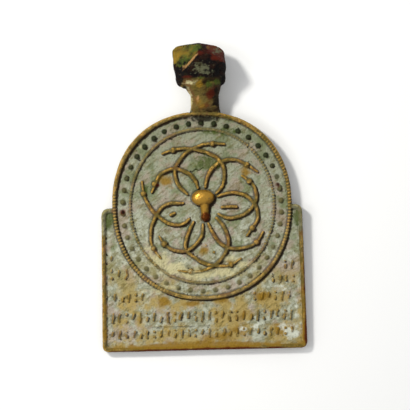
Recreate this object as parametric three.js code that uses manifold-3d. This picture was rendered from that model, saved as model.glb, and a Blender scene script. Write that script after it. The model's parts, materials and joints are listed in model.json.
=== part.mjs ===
// Cast bronze pendant icon, lying on its back with its face up. Millimetres, +Z up, head towards +Y.
// The relief is laid out on an untilted plate: its origin is the middle of the medallion, its back
// border is at z = 0. The finished casting is then tipped until bead and plate foot rest on one level.

import * as THREE from "three";
import { ConvexGeometry } from "three/addons/geometries/ConvexGeometry.js";
import { mergeVertices } from "three/addons/utils/BufferGeometryUtils.js";
import Module from "manifold-3d";

const wasm = await Module();
wasm.setup();

// The plate is an arch standing on a wider block, with a raised rim in front and a low border behind.
const plate = {
  height: 3, // back border to the top of the front rim
  field: 2.3, // level of the sunk front
  backField: 0.4, // depth of the sunk back
  rim: 1.3, // width of the front rim
  backRim: 2,
  chamfer: 0.3,
  foot: -42.35, // lower edge
  footHalf: 30.05,
  footRound: 2,
  shoulder: -0.15, // level where the block ends beside the arch
  shoulderHalf: 29.4,
  shoulderRound: 2.4,
  blockShift: -0.12, // the block sits a little left of the arch
};
const archOval = { halfWidth: 26.3, halfHeight: 27.45, fullness: 2.2 };

// Two raised rings frame a band of pellets; one pellet of the round is missing.
const outerRing = { halfWidth: 25.65, halfHeight: 27, fullness: 2.13, width: 1.2, rise: 0.95 };
const innerRing = { halfWidth: 21.05, halfHeight: 22.5, fullness: 2.05, width: 1, rise: 0.55 };
const pelletOval = { halfWidth: 23.2, halfHeight: 24.6, fullness: 2.1 };
const pellets = { places: 42, missing: 8, firstAngle: 89.3, radius: 0.66, sink: 0.05, drop: -0.4 };

// Rosette of six petals. Two stems draw each petal, cross at its tip, sweep past the neighbouring
// petals to a bud and end in a short tail. Angles are in degrees about the middle of the medallion.
const stem = { radius: 0.56, lift: 0.18, sides: 6, steps: 11, rootRadius: 4.4, rootShare: 0.62 };
const bud = { radius: 0.85, lift: 0.1, tailAngle: 13 };
const petals = [
  {
    tip: { radius: 13.4, angle: 124.5 },
    belly: { angle: 122, half: 2.4 },
    left: { budRadius: 18.4, sweep: 45.5, bow: 0.7, tailRise: 1 },
    right: { budRadius: 15.2, sweep: 29.5, bow: 0.8, tailRise: 0.1 },
  },
  {
    tip: { radius: 13.9, angle: 65.5 },
    belly: { angle: 60, half: 2.7 },
    left: { budRadius: 17.8, sweep: 24.5, bow: 0.65, tailRise: 1.8 },
    right: { budRadius: 18.3, sweep: 50.5, bow: 0.2, tailRise: 1.1 },
  },
  {
    tip: { radius: 15.35, angle: 1 },
    belly: { angle: -0.5, half: 4.1 },
    left: { budRadius: 16.1, sweep: 26, bow: 0.9, tailRise: -0.4 },
    right: { budRadius: 15.6, sweep: 25, bow: 1.05, tailRise: -1.3 },
  },
  {
    tip: { radius: 14.4, angle: -59.5 },
    belly: { angle: -57.5, half: 2 },
    left: { budRadius: 19.5, sweep: 41.5, bow: 1.1, tailRise: 0.8 },
    right: { budRadius: 19.2, sweep: 24.5, bow: 0.5, tailRise: 0.4 },
  },
  {
    tip: { radius: 13.9, angle: -110 },
    belly: { angle: -104.2, half: 2 },
    left: { budRadius: 15.7, sweep: 26, bow: 0.45, tailRise: -0.4 },
    right: { budRadius: 19.2, sweep: 45, bow: 0.6, tailRise: 0 },
  },
  {
    tip: { radius: 13.5, angle: 189.5 },
    belly: { angle: 196.5, half: 3.6 },
    left: { budRadius: 17.5, sweep: 22.5, bow: 0, tailRise: 1.7 },
    right: { budRadius: 18.9, sweep: 30.5, bow: 0.6, tailRise: 1 },
  },
];
// Short ridges lie in the two side petals, like seeds.
const seeds = [
  { from: [-10.1, -2.9], to: [-7.2, -1.4], radius: 0.55 },
  { from: [4.8, -0.6], to: [11, -0.6], radius: 0.5 },
];

// Knob in the middle of the rosette: a low dome with a sloping stub below it.
const knob = { x: 0.35, y: 2.33, halfWidth: 3.4, halfHeight: 2.4, halfDepth: 1.8, rise: 2.4 };
const stub = { x: 0.85, top: 1.2, end: -4.5, topHalf: 1.7, endHalf: 1.15, topRise: 2, endRise: 1.1 };

// Rows of separate shallow strokes in the corners and below the medallion.
const stroke = { width: 0.45, rise: 0.35, pitch: 1.85, tilt: 6 };
const strokeLengths = [1, 0.55, 0.85, 0.45, 1, 0.7, 0.5];
const strokeRows = [
  { y: -32.4, from: -27, to: 26.8, height: 3.7 },
  { y: -37.2, from: -27, to: 26.8, height: 2.8 },
  { y: -26.4, from: -26.2, to: -16.5, height: 2.8 },
  { y: -26.8, from: 14.8, to: 26.2, height: 3 },
  { y: -21.9, from: 20.2, to: 26.6, height: 2.6 },
  { y: -19.6, from: -27, to: -22.6, height: 3.5 },
  { y: -17.8, from: 23.9, to: 26.8, height: 3 },
  { y: -14.7, from: -27, to: -25.5, height: 1.6 },
];

// Suspension bead: a block whose corners are filed away, which leaves a four-cornered face on every
// side. Shares are of the bead's half sizes.
const bead = {
  centre: new THREE.Vector3(0.13, 40.5, 3.6),
  half: new THREE.Vector3(7.83, 7, 6.3),
  frontFace: [[-0.57, -0.13], [0.02, 0.6], [0.85, 0.18], [0.12, -0.56]],
  backFace: [[-0.65, 0], [0, 0.58], [0.65, 0], [0, -0.58]],
  leftSide: [[-0.99, 0.74], [-0.85, -0.7]],
  rightSide: [[0.94, 0.66], [0.96, -0.7]],
  top: [[-0.85, 0.89], [0.74, 0.85]],
  bottom: [[-0.72, -0.9], [0.8, -0.88]],
  waist: 0.72, // reach of the side and top faces towards front and back
  crown: 0.95,
  underside: [-0.72, 0.8], // where the bottom faces meet the collar in front and behind
  boreRadius: 3.2,
  boreSides: 24,
};

// Oval neck from the top of the arch to the bead, flaring into a collar: one entry for each section.
const neckSides = 16;
const neckSections = [
  { y: 26.2, x: 1.6, z: 1.6, halfWidth: 4.6, halfDepth: 1.1 },
  { y: 27.3, x: 1.6, z: 1.65, halfWidth: 4.5, halfDepth: 1.5 },
  { y: 28.8, x: 1.6, z: 2.1, halfWidth: 4.15, halfDepth: 2.6 },
  { y: 32.2, x: 1.55, z: 2.8, halfWidth: 4.1, halfDepth: 3.1 },
  { y: 33.6, x: 1.3, z: 3.2, halfWidth: 4.8, halfDepth: 3.9 },
  { y: 35.6, x: 0.9, z: 3.5, halfWidth: 5.75, halfDepth: 4.9 },
  { y: 37.2, x: 0.7, z: 3.5, halfWidth: 5.4, halfDepth: 4.6 },
];

const bronze = new THREE.MeshStandardMaterial({
  name: "bronze",
  color: 0x8c8560,
  roughness: 0.55,
  metalness: 0.8,
  flatShading: true,
});

const sunk = 0.5; // how far raised work reaches down into the plate
const beyond = 2; // how far a cutting solid runs past the metal
const archSteps = 30;
const ringSteps = 60;

const radians = THREE.MathUtils.degToRad;

// A closed three.js geometry as a solid that can be joined and cut.
function solid(geometry) {
  const bare = geometry.clone();
  bare.deleteAttribute("normal");
  bare.deleteAttribute("uv");
  const merged = mergeVertices(bare, 1e-4);
  return new wasm.Manifold(
    new wasm.Mesh({
      numProp: 3,
      vertProperties: merged.attributes.position.array,
      triVerts: new Uint32Array(merged.index.array),
    }),
  );
}

function joined(solids) {
  return solids.reduce((whole, piece) => whole.add(piece));
}

function geometryOf(made) {
  const { vertProperties, triVerts } = made.getMesh();
  const geometry = new THREE.BufferGeometry();
  geometry.setAttribute("position", new THREE.BufferAttribute(vertProperties, 3));
  geometry.setIndex(new THREE.BufferAttribute(triVerts, 1));
  geometry.computeVertexNormals();
  return geometry;
}

// Point of a superellipse at an angle in radians, with both half sizes grown by grow.
function ovalPoint(oval, angle, grow = 0) {
  const across = Math.abs(Math.cos(angle) / (oval.halfWidth + grow)) ** oval.fullness;
  const along = Math.abs(Math.sin(angle) / (oval.halfHeight + grow)) ** oval.fullness;
  const radius = (across + along) ** (-1 / oval.fullness);
  return new THREE.Vector2(radius * Math.cos(angle), radius * Math.sin(angle));
}

function polarPoint(radius, degrees) {
  return new THREE.Vector2(radius * Math.cos(radians(degrees)), radius * Math.sin(radians(degrees)));
}

// Outline of the plate, drawn inwards by inset.
function plateShape(inset) {
  const foot = plate.foot + inset;
  const shoulder = plate.shoulder - inset;
  const footRound = Math.max(plate.footRound - inset, 0.5);
  const shoulderRound = Math.max(plate.shoulderRound - inset, 0.5);
  const shape = new THREE.Shape();
  for (let i = 0; i <= archSteps; i += 1) {
    const p = ovalPoint(archOval, (Math.PI * i) / archSteps, -inset);
    if (i === 0) shape.moveTo(p.x, p.y);
    else shape.lineTo(p.x, p.y);
  }
  const spring = archOval.halfWidth - inset;
  for (const side of [-1, 1]) {
    const shoulderX = plate.blockShift + side * (plate.shoulderHalf - inset);
    const footX = plate.blockShift + side * (plate.footHalf - inset);
    if (side < 0) {
      shape.lineTo(-spring, shoulder);
      shape.lineTo(shoulderX + shoulderRound, shoulder);
      shape.quadraticCurveTo(shoulderX, shoulder, shoulderX, shoulder - shoulderRound);
      shape.lineTo(footX, foot + footRound);
      shape.quadraticCurveTo(footX, foot, footX + footRound, foot);
    } else {
      shape.lineTo(footX - footRound, foot);
      shape.quadraticCurveTo(footX, foot, footX, foot + footRound);
      shape.lineTo(shoulderX, shoulder - shoulderRound);
      shape.quadraticCurveTo(shoulderX, shoulder, shoulderX - shoulderRound, shoulder);
      shape.lineTo(spring, shoulder);
    }
  }
  shape.closePath();
  return shape;
}

// A shape raised from one level to another, with its edges chamfered inwards where asked.
function raised(shape, bottom, top, chamfer = 0) {
  const geometry = new THREE.ExtrudeGeometry(shape, {
    depth: top - bottom - 2 * chamfer,
    curveSegments: 5,
    bevelEnabled: chamfer > 0,
    bevelThickness: chamfer,
    bevelSize: chamfer,
    bevelOffset: -chamfer,
    bevelSegments: 1,
  });
  return solid(geometry.translate(0, 0, bottom + chamfer));
}

function barePlate() {
  const body = raised(plateShape(0), 0, plate.height, plate.chamfer);
  const front = raised(plateShape(plate.rim), plate.field, plate.height + beyond, plate.chamfer);
  const back = raised(plateShape(plate.backRim), -beyond, plate.backField, plate.chamfer);
  return body.subtract(front).subtract(back);
}

function ringRidge(ring) {
  const outline = (grow) => {
    const points = [];
    for (let i = 0; i < ringSteps; i += 1) points.push(ovalPoint(ring, (2 * Math.PI * i) / ringSteps, grow));
    return points;
  };
  const shape = new THREE.Shape(outline(ring.width / 2));
  shape.holes.push(new THREE.Path(outline(-ring.width / 2)));
  return raised(shape, plate.field - sunk, plate.field + ring.rise, plate.chamfer);
}

// A low dome: a ball of the given half sizes with its middle near the field.
function dome(x, y, z, halfWidth, halfHeight, halfDepth, sides) {
  const ball = new THREE.SphereGeometry(1, sides, sides / 2);
  ball.rotateX(Math.PI / 2);
  ball.scale(halfWidth, halfHeight, halfDepth);
  return solid(ball.translate(x, y, z));
}

function pelletRound() {
  const domes = [];
  for (let i = 0; i < pellets.places; i += 1) {
    if (i === pellets.missing) continue;
    const angle = radians(pellets.firstAngle - (360 * i) / pellets.places);
    const at = ovalPoint(pelletOval, angle);
    const r = pellets.radius;
    domes.push(dome(at.x, at.y + pellets.drop, plate.field - pellets.sink, r, r, r, 8));
  }
  return domes;
}

// A rod along a curve that lies level in the field.
function rod(points, radius, steps) {
  const level = plate.field + stem.lift;
  const path = new THREE.CatmullRomCurve3(points.map((p) => new THREE.Vector3(p.x, p.y, level)));
  const section = new THREE.Shape();
  for (let i = 0; i < stem.sides; i += 1) {
    const angle = (2 * Math.PI * (i + 0.5)) / stem.sides;
    const x = radius * Math.cos(angle);
    const y = radius * Math.sin(angle);
    if (i === 0) section.moveTo(x, y);
    else section.lineTo(x, y);
  }
  section.closePath();
  return solid(new THREE.ExtrudeGeometry(section, { steps, bevelEnabled: false, extrudePath: path }));
}

// Points of one stem. side is 1 for the stem that starts on the left of its petal, -1 for the right.
function stemPoints(petal, side) {
  const { tip, belly } = petal;
  const { budRadius, sweep, bow, tailRise } = side > 0 ? petal.left : petal.right;
  const flank = (radius, half, angle) => {
    const turn = THREE.MathUtils.radToDeg(Math.atan2(half, radius));
    return polarPoint(radius, angle + side * turn);
  };
  const points = [
    flank(stem.rootRadius, belly.half * stem.rootShare, belly.angle),
    flank(tip.radius * 0.6, belly.half, belly.angle),
    flank(tip.radius * 0.84, belly.half * 0.7, (belly.angle + 2 * tip.angle) / 3),
    polarPoint(tip.radius, tip.angle),
  ];
  for (const t of [0.33, 0.67, 1]) {
    const radius = tip.radius + (budRadius - tip.radius) * t + 4 * t * (1 - t) * bow;
    points.push(polarPoint(radius, tip.angle - side * sweep * t));
  }
  points.push(polarPoint(budRadius + tailRise, tip.angle - side * (sweep + bud.tailAngle)));
  return points;
}

function rosette() {
  const pieces = [];
  for (const petal of petals) {
    for (const side of [1, -1]) {
      const points = stemPoints(petal, side);
      const at = points[points.length - 2];
      pieces.push(rod(points, stem.radius, stem.steps));
      pieces.push(dome(at.x, at.y, plate.field + bud.lift, bud.radius, bud.radius, bud.radius, 8));
    }
  }
  for (const seed of seeds) {
    const ends = [new THREE.Vector2(...seed.from), new THREE.Vector2(...seed.to)];
    pieces.push(rod(ends, seed.radius, 2));
  }
  return pieces;
}

// Ovals in planes across Y, joined up and closed at both ends.
function loft(sections, sides) {
  const positions = [];
  const faces = [];
  for (const s of sections) {
    for (let i = 0; i < sides; i += 1) {
      const angle = (2 * Math.PI * i) / sides;
      positions.push(s.x + s.halfWidth * Math.cos(angle), s.y, s.z + s.halfDepth * Math.sin(angle));
    }
  }
  const last = sections.length - 1;
  for (let row = 0; row < last; row += 1) {
    for (let i = 0; i < sides; i += 1) {
      const a = row * sides + i;
      const b = row * sides + ((i + 1) % sides);
      faces.push(a, a + sides, b, b, a + sides, b + sides);
    }
  }
  for (const [row, flip] of [[0, false], [last, true]]) {
    const middle = positions.length / 3;
    positions.push(sections[row].x, sections[row].y, sections[row].z);
    for (let i = 0; i < sides; i += 1) {
      const a = row * sides + i;
      const b = row * sides + ((i + 1) % sides);
      faces.push(middle, ...(flip ? [b, a] : [a, b]));
    }
  }
  const geometry = new THREE.BufferGeometry();
  geometry.setAttribute("position", new THREE.Float32BufferAttribute(positions, 3));
  geometry.setIndex(faces);
  return solid(geometry);
}

// The stub narrows and sinks from the dome to a rounded end.
function knobAndStub() {
  const sections = [];
  for (const t of [1, 0.98, 0.9, 0.75, 0.4, 0]) {
    const closing = Math.sqrt(Math.max(1 - Math.max((t - 0.75) / 0.25, 0) ** 2, 0.02));
    const half = (stub.topHalf + (stub.endHalf - stub.topHalf) * t) * closing;
    const rise = (stub.topRise + (stub.endRise - stub.topRise) * t) * closing;
    const y = stub.top + (stub.end - stub.top) * t;
    sections.push({ x: stub.x, y, z: plate.field, halfWidth: half, halfDepth: rise });
  }
  const middle = plate.field + knob.rise - knob.halfDepth;
  return [
    dome(knob.x, knob.y, middle, knob.halfWidth, knob.halfHeight, knob.halfDepth, 16),
    loft(sections, 12),
  ];
}

// Strokes stand at an even pitch; length, height in the row and tilt change along the row.
function strokes() {
  const pieces = [];
  for (const row of strokeRows) {
    const count = Math.floor((row.to - row.from) / stroke.pitch) + 1;
    for (let i = 0; i < count; i += 1) {
      const share = strokeLengths[(i * 3 + Math.round(-row.y)) % strokeLengths.length];
      const length = row.height * share;
      const shift = ((row.height - length) / 2) * (i % 2 ? 1 : -1);
      const box = new THREE.BoxGeometry(stroke.width, length, stroke.rise + sunk);
      box.rotateZ(radians(stroke.tilt * Math.sin(i * 2.4 + row.y)));
      box.translate(row.from + i * stroke.pitch, row.y + shift, plate.field + (stroke.rise - sunk) / 2);
      pieces.push(solid(box));
    }
  }
  return pieces;
}

function beadCorners() {
  const [underY, underZ] = bead.underside;
  const corners = [[0, 1, 0]];
  for (const [x, y] of bead.frontFace) corners.push([x, y, 1]);
  for (const [x, y] of bead.backFace) corners.push([x, y, -1]);
  for (const [x, y] of [...bead.leftSide, ...bead.rightSide, ...bead.top, ...bead.bottom]) {
    corners.push([x, y, 0]);
  }
  for (const z of [-1, 1]) {
    corners.push([-bead.crown, 0, z * bead.waist], [1, 0, z * bead.waist]);
    corners.push([0, bead.crown, z * bead.waist], [0, underY, z * underZ]);
  }
  return corners.map((share) => new THREE.Vector3(...share).multiply(bead.half).add(bead.centre));
}

function beadBore() {
  const length = 2 * (bead.half.x + beyond);
  const bore = new THREE.CylinderGeometry(bead.boreRadius, bead.boreRadius, length, bead.boreSides);
  bore.rotateZ(Math.PI / 2);
  bore.translate(bead.centre.x, bead.centre.y, bead.centre.z);
  return solid(bore);
}

const corners = beadCorners();
const casting = joined([
  barePlate(),
  ringRidge(outerRing),
  ringRidge(innerRing),
  ...pelletRound(),
  ...rosette(),
  ...knobAndStub(),
  ...strokes(),
  loft(neckSections, neckSides),
  solid(new ConvexGeometry(corners)),
]).subtract(beadBore());

const icon = new THREE.Mesh(geometryOf(casting), bronze);
icon.name = "icon";

// Resting tilt: the first corner of the bead to meet the ground as the plate is lowered on its foot.
icon.rotation.x = Math.max(...corners.map((c) => Math.atan2(-c.z, c.y - plate.foot - plate.chamfer)));

// The origin is under the middle of the resting icon.
const tipped = new THREE.Group();
tipped.add(icon);
const box = new THREE.Box3().setFromObject(tipped, true);
tipped.position.set(-(box.min.x + box.max.x) / 2, -(box.min.y + box.max.y) / 2, -box.min.z);

const part = new THREE.Group();
part.add(tipped);

export default part;
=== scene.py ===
import json
import math

import bmesh
import bpy
import numpy as np
from mathutils import Matrix, Vector


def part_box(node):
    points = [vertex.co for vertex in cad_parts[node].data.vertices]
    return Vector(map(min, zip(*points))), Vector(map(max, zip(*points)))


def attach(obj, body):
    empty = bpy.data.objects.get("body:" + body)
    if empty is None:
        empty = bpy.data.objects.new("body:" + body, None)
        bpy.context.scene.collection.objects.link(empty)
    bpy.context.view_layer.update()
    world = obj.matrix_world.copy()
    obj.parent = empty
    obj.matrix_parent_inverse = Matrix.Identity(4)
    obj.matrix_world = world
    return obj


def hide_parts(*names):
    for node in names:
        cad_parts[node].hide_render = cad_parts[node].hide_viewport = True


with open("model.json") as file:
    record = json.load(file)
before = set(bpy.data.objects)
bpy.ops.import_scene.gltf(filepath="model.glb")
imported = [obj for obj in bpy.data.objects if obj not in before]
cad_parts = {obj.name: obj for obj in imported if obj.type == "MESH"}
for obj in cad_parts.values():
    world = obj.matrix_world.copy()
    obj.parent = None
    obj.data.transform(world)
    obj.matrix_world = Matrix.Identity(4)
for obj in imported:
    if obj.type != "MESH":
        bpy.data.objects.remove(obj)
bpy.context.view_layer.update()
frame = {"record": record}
print("frame loaded")

mm = 0.001


# sRGB hex value to linear RGBA
def linear(hexValue):
    channels = [int(hexValue[i:i + 2], 16) / 255 for i in (1, 3, 5)]
    return (*[c / 12.92 if c <= 0.04045 else ((c + 0.055) / 1.055) ** 2.4 for c in channels], 1)


# Adds a node, sets its settings, fills or links its inputs, and gives back one of its outputs
def addNode(tree, kind, settings=None, inputs=None, out=0):
    node = tree.nodes.new(kind)
    for name, value in (settings or {}).items():
        setattr(node, name, value)
    for key, value in (inputs or {}).items():
        if isinstance(value, bpy.types.NodeSocket):
            tree.links.new(value, node.inputs[key])
        else:
            node.inputs[key].default_value = value
    return node.outputs[out] if len(node.outputs) else None


# Camera: straight above the face, framed as 410 x 410
view = {
    "aim": (1.0, -2.34),  # point of the frame in the middle of the picture, mm
    "span": 120,  # width of the picture at the face of the plate, mm
    "distance": 546,
    "faceLevel": 3.6,
    "sensor": 36,
    "turn": -1.4,  # the icon lies a little askew, degrees
}


def makeCamera():
    data = bpy.data.cameras.new("camera")
    data.sensor_width = view["sensor"]
    data.lens = view["sensor"] * view["distance"] / view["span"]
    data.clip_start = 0.01
    camera = bpy.data.objects.new("camera", data)
    level = view["distance"] + view["faceLevel"]
    camera.location = (view["aim"][0] * mm, view["aim"][1] * mm, level * mm)
    camera.rotation_euler = (0, 0, math.radians(view["turn"]))
    bpy.context.scene.collection.objects.link(camera)
    bpy.context.scene.camera = camera


# Lights: a near lamp from the upper left throws the shadows, a soft panel on the left glints in the
# knob and the ridges, and the room fills in
light = {
    "lamp": {"at": (-200, 165, 300), "size": 62, "power": 1.05, "colour": "#fffdf8"},
    "panel": {"at": (-330, 0, 380), "size": 160, "power": 0.35, "colour": "#ffffff"},
    "roomColour": "#fafbfc",
    "room": 0.61,
}


def makeLight():
    for name in ("lamp", "panel"):
        lamp = light[name]
        data = bpy.data.lights.new(name, "AREA")
        data.shape = "DISK"
        data.size = lamp["size"] * mm
        data.energy = lamp["power"]
        data.color = linear(lamp["colour"])[:3]
        made = bpy.data.objects.new(name, data)
        made.location = Vector(lamp["at"]) * mm
        made.rotation_euler = (-made.location).to_track_quat("-Z", "Y").to_euler()
        bpy.context.scene.collection.objects.link(made)
    world = bpy.data.worlds.new("room")
    world.use_nodes = True
    background = world.node_tree.nodes["Background"]
    background.inputs["Color"].default_value = linear(light["roomColour"])
    background.inputs["Strength"].default_value = light["room"]
    bpy.context.scene.world = world
    bpy.context.scene.view_settings.view_transform = "Standard"


# Floor: matt white card
floorCard = {"colour": "#f8f8f7", "roughness": 0.9, "grain": 0.4, "half": 900}


def makeFloor():
    # Card: pressed paper pulp, matt, with only the faintest fibre
    card = bpy.data.materials.new("card_matt_white")
    card.use_nodes = True
    tree = card.node_tree
    shader = tree.nodes["Principled BSDF"]
    shader.inputs["Base Color"].default_value = linear(floorCard["colour"])
    shader.inputs["Roughness"].default_value = floorCard["roughness"]
    place = addNode(tree, "ShaderNodeTexCoord", out="Object")
    fibre = addNode(tree, "ShaderNodeTexNoise", inputs={
        "Vector": place, "Scale": 1 / (floorCard["grain"] * mm), "Detail": 3.0})
    relief = addNode(tree, "ShaderNodeBump", inputs={
        "Strength": 0.05, "Distance": 0.02 * mm, "Height": fibre})
    tree.links.new(relief, shader.inputs["Normal"])
    half = floorCard["half"] * mm
    mesh = bpy.data.meshes.new("floor")
    mesh.from_pydata([(-half, -half, 0), (half, -half, 0), (half, half, 0), (-half, half, 0)], [], [(0, 1, 2, 3)])
    mesh.materials.append(card)
    floor = bpy.data.objects.new("floor", mesh)
    bpy.context.scene.collection.objects.link(floor)


makeCamera()
makeLight()
makeFloor()
print("camera, lights and floor made")

# Resolution of the fused casting
fineness = {
    "voxel": 0.12,
    "triangles": 190000,
    "behind": 34000,  # of these, for the plain back and sides
}

bronze = bpy.data.materials.new("bronze_cast_patinated")


# Starts a Geometry Nodes tree with named inputs and gives it back with the sockets of its inputs
def startTree(name, sockets):
    tree = bpy.data.node_groups.new(name, "GeometryNodeTree")
    tree.interface.new_socket(name="Geometry", in_out="OUTPUT", socket_type="NodeSocketGeometry")
    tree.interface.new_socket(name="Geometry", in_out="INPUT", socket_type="NodeSocketGeometry")
    for label, kind in sockets.items():
        tree.interface.new_socket(name=label, in_out="INPUT", socket_type="NodeSocket" + kind)
    return tree, tree.nodes.new("NodeGroupInput").outputs


# Every tree ends in the same three nodes
def endTree(tree, geometry):
    whole = addNode(tree, "GeometryNodeRealizeInstances", inputs={"Geometry": geometry})
    cast = addNode(tree, "GeometryNodeSetMaterial", inputs={"Geometry": whole, "Material": bronze})
    addNode(tree, "NodeGroupOutput", inputs={"Geometry": cast})
    return tree


# A plain mesh from points, edges or faces, with one value a point for each named attribute
def meshObject(name, points, edges=(), faces=(), values=None):
    mesh = bpy.data.meshes.new(name)
    mesh.from_pydata([tuple(p) for p in points], edges, faces)
    for label, numbers in (values or {}).items():
        mesh.attributes.new(label, "FLOAT", "POINT").data.foreach_set("value", numbers)
    made = bpy.data.objects.new(name, mesh)
    bpy.context.scene.collection.objects.link(made)
    return made


# Applies every modifier of an object to its mesh
def settle(made):
    graph = bpy.context.evaluated_depsgraph_get()
    mesh = bpy.data.meshes.new_from_object(made.evaluated_get(graph))
    made.modifiers.clear()
    made.data = mesh
    return made


# Runs a tree on an object; inputs are set by socket identifier before the first evaluation
def runTree(made, tree, **given):
    modifier = made.modifiers.new(tree.name, "NODES")
    modifier.node_group = tree
    for item in tree.interface.items_tree:
        if item.in_out == "INPUT" and item.name in given:
            modifier[item.identifier] = given[item.name]
    return settle(made)


def closedFrom(bm, name):
    bmesh.ops.remove_doubles(bm, verts=bm.verts, dist=1e-4)
    bmesh.ops.recalc_face_normals(bm, faces=bm.faces)
    mesh = bpy.data.meshes.new(name)
    bm.to_mesh(mesh)
    bm.free()
    made = bpy.data.objects.new(name, mesh)
    bpy.context.scene.collection.objects.link(made)
    return made


# Loops of equally many points joined up one after another and closed at both ends
def skin(name, loops):
    bm = bmesh.new()
    rows = [[bm.verts.new(p) for p in loop] for loop in loops]
    for low, high in zip(rows, rows[1:]):
        for i in range(len(low)):
            j = (i + 1) % len(low)
            bm.faces.new((low[i], low[j], high[j], high[i]))
    bm.faces.new(reversed(rows[0]))
    bm.faces.new(rows[-1])
    return closedFrom(bm, name)


# Point of a superellipse at an angle in radians
def ovalPoint(oval, angle, grow=0.0):
    across = abs(math.cos(angle) / (oval["halfWidth"] + grow)) ** oval["fullness"]
    along = abs(math.sin(angle) / (oval["halfHeight"] + grow)) ** oval["fullness"]
    radius = (across + along) ** (-1 / oval["fullness"])
    return radius * math.cos(angle), radius * math.sin(angle)


def polarPoint(radius, degrees):
    return radius * math.cos(math.radians(degrees)), radius * math.sin(math.radians(degrees))


# Plate: an arch on a wider block, sunk inside its rim in front and behind
plate = {
    "field": 2.3,  # level of the sunk front
    "foot": -42.35,
    "footHalf": 30.05,
    "footRound": 2,
    "shoulder": -0.15,
    "shoulderHalf": 29.4,
    "shoulderRound": 2.4,
    "blockShift": -0.12,
    "arch": {"halfWidth": 26.3, "halfHeight": 27.45, "fullness": 2.2},
    "archSteps": 72,
    "roundSteps": 8,
    # Section through the edge, inset and level, from the sunk back round to the sunk front
    "edge": [(2.35, 0.4), (2.12, 0.28), (1.96, 0.08), (1.8, 0), (0.35, 0), (0.12, 0.08), (0, 0.3),
             (0, 2.4), (0.08, 2.68), (0.28, 2.88), (0.62, 2.98), (0.9, 2.94), (1.12, 2.78),
             (1.3, 2.56), (1.45, 2.38), (1.62, 2.3)],
}


def plateLoop(inset, level):
    foot = plate["foot"] + inset
    shoulder = plate["shoulder"] - inset
    footRound = max(plate["footRound"] - inset, 0.5)
    shoulderRound = max(plate["shoulderRound"] - inset, 0.5)
    spring = plate["arch"]["halfWidth"] - inset
    loop = []
    for i in range(plate["archSteps"] + 1):
        loop.append(ovalPoint(plate["arch"], math.pi * i / plate["archSteps"], -inset))
    sides = {}
    for side in (-1, 1):
        shoulderX = plate["blockShift"] + side * (plate["shoulderHalf"] - inset)
        footX = plate["blockShift"] + side * (plate["footHalf"] - inset)
        points = [(side * spring, shoulder)]
        for corner, ends in (
            ((shoulderX, shoulder), ((-side * shoulderRound, 0), (0, -shoulderRound))),
            ((footX, foot), ((0, footRound), (-side * footRound, 0))),
        ):
            for k in range(plate["roundSteps"] + 1):
                t = k / plate["roundSteps"]
                weights = ((1 - t) ** 2, t ** 2)
                points.append(tuple(
                    c + weights[0] * ends[0][axis] + weights[1] * ends[1][axis]
                    for axis, c in enumerate(corner)))
        sides[side] = points
    loop += sides[-1] + sides[1][::-1]
    return [(x, y, level) for x, y in loop]


def makePlate():
    return skin("plate", [plateLoop(inset, level) for inset, level in plate["edge"]])


# Rings: half-round ridges with fine notches across them, which are worn away in places.
# crisp says how deep the notches still are at an angle in degrees about the medallion.
rings = {
    "step": 0.1,
    "sides": 14,
    "notchSpacing": 0.92,
    "notchDepth": 0.5,
    "notchSharpness": 3.0,
    "points": 360,
    "outer": {
        "oval": {"halfWidth": 25.65, "halfHeight": 27, "fullness": 2.13},
        "radius": 0.6,
        "level": 2.65,
        "crisp": [(-180, 1), (-150, 0.8), (-125, 0.4), (-105, 0.05), (-50, 0.05), (-30, 0.3), (-10, 1),
                  (15, 0.8), (38, 0.6), (50, 0.2), (70, 0.05), (165, 0.05), (176, 0.8), (180, 1)],
    },
    "inner": {
        "oval": {"halfWidth": 21.05, "halfHeight": 22.5, "fullness": 2.05},
        "radius": 0.5,
        "level": 2.36,
        "crisp": [(-180, 0.8), (-150, 0.6), (-120, 0.2), (-90, 0.05), (-60, 0.3), (-30, 0.8), (0, 1),
                  (30, 1), (50, 0.8), (70, 0.3), (90, 0.05), (155, 0.05), (172, 0.5), (180, 0.8)],
    },
}


def notchedRingTree():
    tree, given = startTree("notched ring", {
        "Radius": "Float", "Notches": "Float", "Depth": "Float", "Sharpness": "Float", "Step": "Float"})
    line = addNode(tree, "GeometryNodeMeshToCurve", inputs={"Mesh": given["Geometry"]})
    line = addNode(tree, "GeometryNodeResampleCurve", {"mode": "LENGTH"}, {
        "Curve": line, "Length": given["Step"]})
    share = addNode(tree, "GeometryNodeSplineParameter", out="Factor")
    halfTurn = addNode(tree, "ShaderNodeMath", {"operation": "MULTIPLY"}, {0: given["Notches"], 1: math.pi})
    phase = addNode(tree, "ShaderNodeMath", {"operation": "MULTIPLY"}, {0: share, 1: halfTurn})
    swing = addNode(tree, "ShaderNodeMath", {"operation": "COSINE"}, {0: phase})
    size = addNode(tree, "ShaderNodeMath", {"operation": "ABSOLUTE"}, {0: swing})
    notch = addNode(tree, "ShaderNodeMath", {"operation": "POWER"}, {0: size, 1: given["Sharpness"]})
    crisp = addNode(tree, "GeometryNodeInputNamedAttribute", {"data_type": "FLOAT"}, {"Name": "crisp"})
    cut = addNode(tree, "ShaderNodeMath", {"operation": "MULTIPLY"}, {0: notch, 1: crisp})
    cut = addNode(tree, "ShaderNodeMath", {"operation": "MULTIPLY"}, {0: cut, 1: given["Depth"]})
    kept = addNode(tree, "ShaderNodeMath", {"operation": "SUBTRACT"}, {0: 1.0, 1: cut})
    girth = addNode(tree, "ShaderNodeMath", {"operation": "MULTIPLY"}, {0: kept, 1: given["Radius"]})
    section = addNode(tree, "GeometryNodeCurvePrimitiveCircle", inputs={
        "Resolution": rings["sides"], "Radius": 1.0})
    rope = addNode(tree, "GeometryNodeCurveToMesh", inputs={
        "Curve": line, "Profile Curve": section, "Scale": girth})
    return endTree(tree, rope)


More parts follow.
